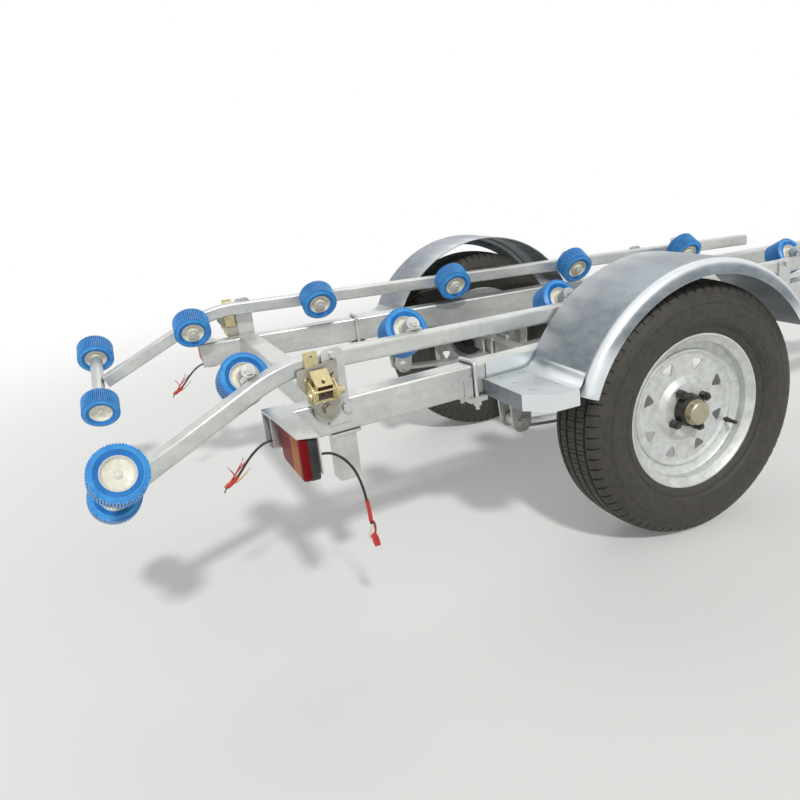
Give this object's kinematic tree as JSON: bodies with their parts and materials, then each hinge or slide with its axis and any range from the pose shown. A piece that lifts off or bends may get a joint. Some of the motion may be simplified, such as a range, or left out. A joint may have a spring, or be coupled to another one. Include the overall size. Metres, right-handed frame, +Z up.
{
  "type": "boat trailer",
  "caption": "Single-axle boat trailer with tilted hull rollers on raised side rails, sprung axle, mudguards, winch post, jockey wheel and ball coupler.",
  "frame": {"origin": "centre of the bounding box in plan, on the ground under the tyres", "axes": "+X forward to the coupler, +Y left, +Z up"},
  "size_m": [4.0759, 1.208, 1.143],
  "materials": {
    "black_rubber": "matte",
    "black_steel": "satin",
    "blue_rubber": "satin",
    "cable": "satin",
    "galvanised": "dull hot-dip galvanised",
    "guard": "galvanised sheet",
    "lamp": "clear lens",
    "rim_steel": "satin silver",
    "tyre": "matte",
    "webbing": "woven",
    "yellow_zinc": "yellow zinc plated",
    "zinc": "zinc plated"
  },
  "bodies": {
    "frame": {"axle": "galvanised", "cable_front_right": "cable", "cable_rear_left": "cable", "cable_rear_right": "cable", "chassis_rails": "galvanised", "coupler_body": "zinc", "cross_members": "galvanised", "drawbar": "galvanised", "drop_legs": "galvanised", "end_shafts": "zinc", "jockey_clamp": "galvanised", "jockey_tube": "zinc", "lamp_brackets": "galvanised", "leaf_springs": "galvanised", "mudguard_left": "guard", "mudguard_right": "guard", "rail_clamps": "galvanised", "ratchet_plates": "galvanised", "ratchet_webbing": "webbing", "ratchets": "yellow_zinc", "roller_pins": "galvanised", "spring_hangers": "galvanised", "tail_lamps": "lamp", "tie_plates": "galvanised", "upper_rails": "galvanised", "winch_frame": "zinc", "winch_post": "galvanised"},
    "wheel_right": {"tyre_right": "tyre", "rim_right": "rim_steel", "hub_right": "black_steel", "grease_cap_right": "zinc"},
    "end_roller_outer_right": {"end_roller_outer_right": "blue_rubber"},
    "end_roller_inner_right": {"end_roller_inner_right": "blue_rubber"},
    "side_roller_1_right": {"side_roller_1_right": "blue_rubber"},
    "side_roller_2_right": {"side_roller_2_right": "blue_rubber"},
    "side_roller_3_right": {"side_roller_3_right": "blue_rubber"},
    "side_roller_4_right": {"side_roller_4_right": "blue_rubber"},
    "side_roller_5_right": {"side_roller_5_right": "blue_rubber"},
    "wheel_left": {"tyre_left": "tyre", "rim_left": "rim_steel", "hub_left": "black_steel", "grease_cap_left": "zinc"},
    "end_roller_outer_left": {"end_roller_outer_left": "blue_rubber"},
    "end_roller_inner_left": {"end_roller_inner_left": "blue_rubber"},
    "side_roller_1_left": {"side_roller_1_left": "blue_rubber"},
    "side_roller_2_left": {"side_roller_2_left": "blue_rubber"},
    "side_roller_3_left": {"side_roller_3_left": "blue_rubber"},
    "side_roller_4_left": {"side_roller_4_left": "blue_rubber"},
    "side_roller_5_left": {"side_roller_5_left": "blue_rubber"},
    "coupler_lever": {"coupler_lever": "zinc"},
    "jockey_leg": {"jockey_leg": "zinc"},
    "jockey_fork": {"jockey_fork": "zinc"},
    "jockey_wheel": {"jockey_tyre": "black_rubber", "jockey_rim": "zinc"},
    "jockey_crank": {"jockey_crank": "zinc"},
    "winch_drum": {"winch_drum": "zinc", "winch_strap": "webbing"},
    "snubber_roller": {"snubber_roller": "blue_rubber"}
  },
  "joints": [
    {"name": "wheel_right_spin", "type": "hinge", "parent": "frame", "child": "wheel_right", "pos_m": [-0.74605, -0.556, 0.298], "axis": [0, 1, 0], "continuous": true},
    {"name": "end_roller_outer_right_spin", "type": "hinge", "parent": "frame", "child": "end_roller_outer_right", "pos_m": [-1.96846, -0.54846, 0.47009], "axis": [0.0753, -0.8731, 0.4818], "continuous": true},
    {"name": "end_roller_inner_right_spin", "type": "hinge", "parent": "frame", "child": "end_roller_inner_right", "pos_m": [-1.98579, -0.34766, 0.35928], "axis": [0.0753, -0.8731, 0.4818], "continuous": true},
    {"name": "side_roller_1_right_spin", "type": "hinge", "parent": "frame", "child": "side_roller_1_right", "pos_m": [-1.70633, -0.34089, 0.53198], "axis": [0.0753, -0.8731, 0.4818], "continuous": true},
    {"name": "side_roller_2_right_spin", "type": "hinge", "parent": "frame", "child": "side_roller_2_right", "pos_m": [-1.34169, -0.30944, 0.55434], "axis": [0.0753, -0.8731, 0.4818], "continuous": true},
    {"name": "side_roller_3_right_spin", "type": "hinge", "parent": "frame", "child": "side_roller_3_right", "pos_m": [-0.91826, -0.27292, 0.54444], "axis": [0.0753, -0.8731, 0.4818], "continuous": true},
    {"name": "side_roller_4_right_spin", "type": "hinge", "parent": "frame", "child": "side_roller_4_right", "pos_m": [-0.49483, -0.23639, 0.53453], "axis": [0.0753, -0.8731, 0.4818], "continuous": true},
    {"name": "side_roller_5_right_spin", "type": "hinge", "parent": "frame", "child": "side_roller_5_right", "pos_m": [-0.0714, -0.19987, 0.52463], "axis": [0.0753, -0.8731, 0.4818], "continuous": true},
    {"name": "wheel_left_spin", "type": "hinge", "parent": "frame", "child": "wheel_left", "pos_m": [-0.74605, 0.556, 0.298], "axis": [0, 1, 0], "continuous": true},
    {"name": "end_roller_outer_left_spin", "type": "hinge", "parent": "frame", "child": "end_roller_outer_left", "pos_m": [-1.96846, 0.54846, 0.47009], "axis": [0.0753, 0.8731, 0.4818], "continuous": true},
    {"name": "end_roller_inner_left_spin", "type": "hinge", "parent": "frame", "child": "end_roller_inner_left", "pos_m": [-1.98579, 0.34766, 0.35928], "axis": [0.0753, 0.8731, 0.4818], "continuous": true},
    {"name": "side_roller_1_left_spin", "type": "hinge", "parent": "frame", "child": "side_roller_1_left", "pos_m": [-1.70633, 0.34089, 0.53198], "axis": [0.0753, 0.8731, 0.4818], "continuous": true},
    {"name": "side_roller_2_left_spin", "type": "hinge", "parent": "frame", "child": "side_roller_2_left", "pos_m": [-1.34169, 0.30944, 0.55434], "axis": [0.0753, 0.8731, 0.4818], "continuous": true},
    {"name": "side_roller_3_left_spin", "type": "hinge", "parent": "frame", "child": "side_roller_3_left", "pos_m": [-0.91826, 0.27292, 0.54444], "axis": [0.0753, 0.8731, 0.4818], "continuous": true},
    {"name": "side_roller_4_left_spin", "type": "hinge", "parent": "frame", "child": "side_roller_4_left", "pos_m": [-0.49483, 0.23639, 0.53453], "axis": [0.0753, 0.8731, 0.4818], "continuous": true},
    {"name": "side_roller_5_left_spin", "type": "hinge", "parent": "frame", "child": "side_roller_5_left", "pos_m": [-0.0714, 0.19987, 0.52463], "axis": [0.0753, 0.8731, 0.4818], "continuous": true},
    {"name": "coupler_lever_lift", "type": "hinge", "parent": "frame", "child": "coupler_lever", "pos_m": [1.96195, 0, 0.434], "axis": [0, 1, 0], "range_deg": [0, 45]},
    {"name": "jockey_screw", "type": "slide", "parent": "frame", "child": "jockey_leg", "axis": [0, 0, 1], "range_m": [0, 0.105]},
    {"name": "jockey_swivel", "type": "hinge", "parent": "jockey_leg", "child": "jockey_fork", "pos_m": [1.45395, 0.092, 0.219], "axis": [0, 0, 1], "continuous": true},
    {"name": "jockey_wheel_spin", "type": "hinge", "parent": "jockey_fork", "child": "jockey_wheel", "pos_m": [1.41395, 0.092, 0.1], "axis": [0, 1, 0], "continuous": true},
    {"name": "jockey_crank_turn", "type": "hinge", "parent": "frame", "child": "jockey_crank", "pos_m": [1.45395, 0.092, 0.82], "axis": [0, 0, 1], "continuous": true},
    {"name": "winch_drum_turn", "type": "hinge", "parent": "frame", "child": "winch_drum", "pos_m": [1.24395, 0, 0.973], "axis": [0, 1, 0], "continuous": true},
    {"name": "snubber_spin", "type": "hinge", "parent": "frame", "child": "snubber_roller", "pos_m": [1.04195, 0, 0.763], "axis": [0, 1, 0], "continuous": true}
  ]
}
